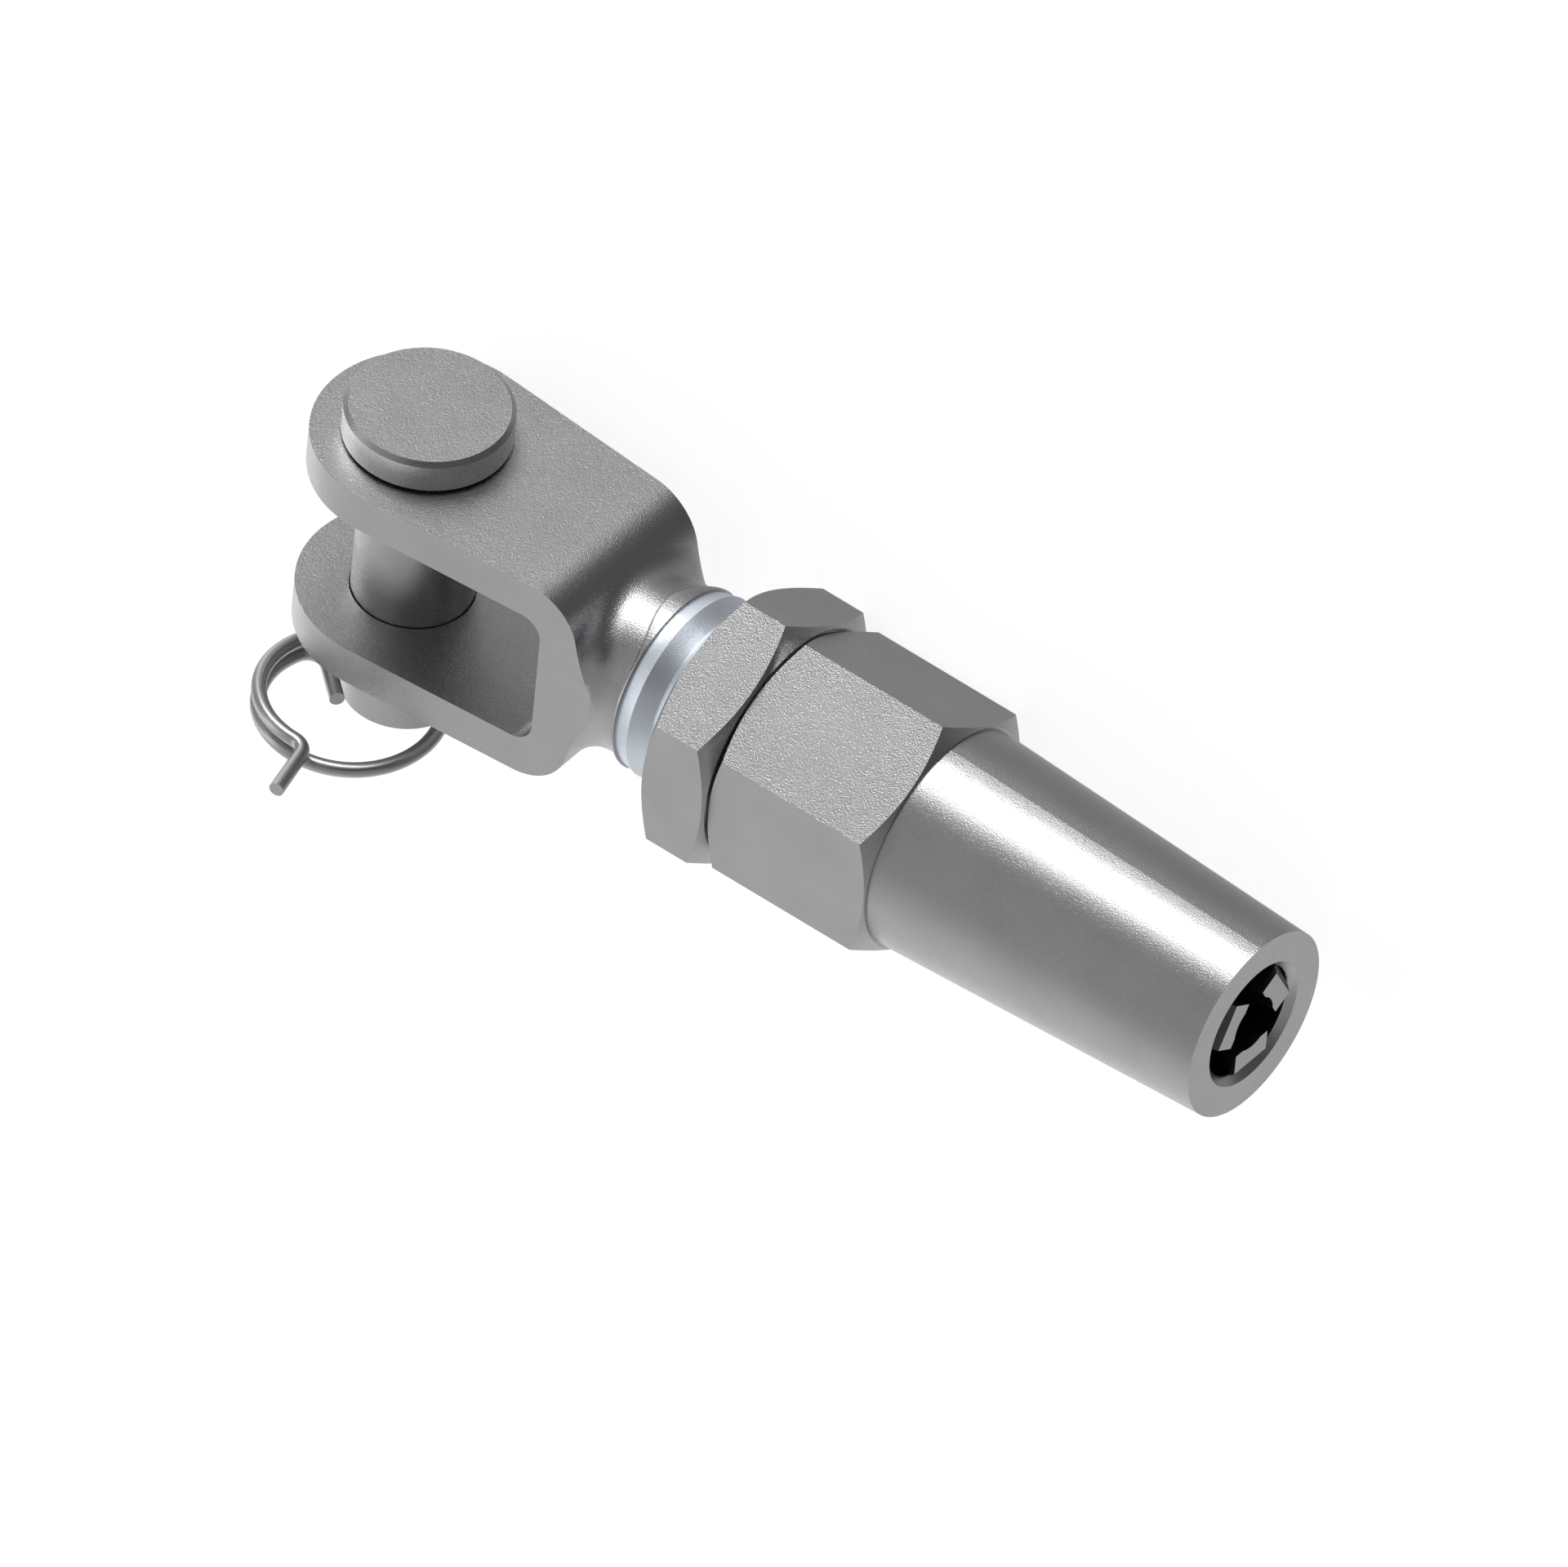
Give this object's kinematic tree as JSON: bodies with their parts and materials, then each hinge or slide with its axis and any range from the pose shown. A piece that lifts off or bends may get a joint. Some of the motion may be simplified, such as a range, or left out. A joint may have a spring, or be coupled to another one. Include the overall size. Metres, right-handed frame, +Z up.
{
  "type": "wire rope tensioner",
  "caption": "Self-gripping fork end for wire rope: a clevis pin with a cotter ring at one end, spring-fed wedge jaws in a screw-on sleeve at the other, set by a lock nut.",
  "frame": {"origin": "where the clevis pin's axis meets the rope's axis, midway between the cheeks", "axes": "+X along the rope's axis from the clevis pin to the mouth that the rope enters, +Y along the clevis pin towards its head, +Z up as the part lies on the flats of its nut and sleeve"},
  "size_m": [0.0748, 0.0249, 0.0245],
  "materials": {
    "steel": "satin stainless steel, finely grained",
    "jaw_steel": "plain machined stainless steel"
  },
  "bodies": {
    "fork": {"fork": "steel"},
    "pin": {"clevis_pin": "steel"},
    "ring": {"cotter_ring": "steel"},
    "nut": {"lock_nut": "steel"},
    "spring": {"jaw_spring": "jaw_steel"},
    "sleeve": {"sleeve": "steel"},
    "follower": {"jaw_follower": "jaw_steel"},
    "jaw_1": {"jaw_1": "jaw_steel"},
    "jaw_2": {"jaw_2": "jaw_steel"},
    "jaw_3": {"jaw_3": "jaw_steel"}
  },
  "joints": [
    {"name": "pin_turn", "type": "hinge", "parent": "fork", "child": "pin", "pos_m": [0, 0, 0], "axis": [0, 1, 0], "continuous": true},
    {"name": "ring_swing", "type": "hinge", "parent": "pin", "child": "ring", "pos_m": [0, -0.0113, 0], "axis": [1, 0, 0], "range_deg": [-7, 14]},
    {"name": "nut_run", "type": "slide", "parent": "fork", "child": "nut", "axis": [1, 0, 0], "range_m": [-0.0036, 0]},
    {"name": "take_up", "type": "slide", "parent": "fork", "child": "spring", "axis": [1, 0, 0], "range_m": [0, 0.006]},
    {"name": "sleeve_turn", "type": "hinge", "parent": "spring", "child": "sleeve", "pos_m": [0.0484, 0, 0], "axis": [1, 0, 0], "range_deg": [0, 1080]},
    {"name": "jaw_push", "type": "slide", "parent": "spring", "child": "follower", "axis": [1, 0, 0], "range_m": [-0.0058, 0], "stiffness_N_per_m": 300, "springref_m": 0.003, "deforming": ["jaw_spring"]},
    {"name": "jaw_1_slide", "type": "slide", "parent": "spring", "child": "jaw_1", "axis": [0.9954, -0.0479, -0.083], "range_m": [-0.00583, 0]},
    {"name": "jaw_2_slide", "type": "slide", "parent": "spring", "child": "jaw_2", "axis": [0.9954, 0.0958, 0], "range_m": [-0.00583, 0]},
    {"name": "jaw_3_slide", "type": "slide", "parent": "spring", "child": "jaw_3", "axis": [0.9954, -0.0479, 0.083], "range_m": [-0.00583, 0]}
  ],
  "couplings": [
    {"joint": "take_up", "follows": "sleeve_turn", "m_per_rad": 0.00031831},
    {"joint": "jaw_1_slide", "follows": "jaw_push", "ratio": 1.0046},
    {"joint": "jaw_2_slide", "follows": "jaw_push", "ratio": 1.0046},
    {"joint": "jaw_3_slide", "follows": "jaw_push", "ratio": 1.0046}
  ]
}
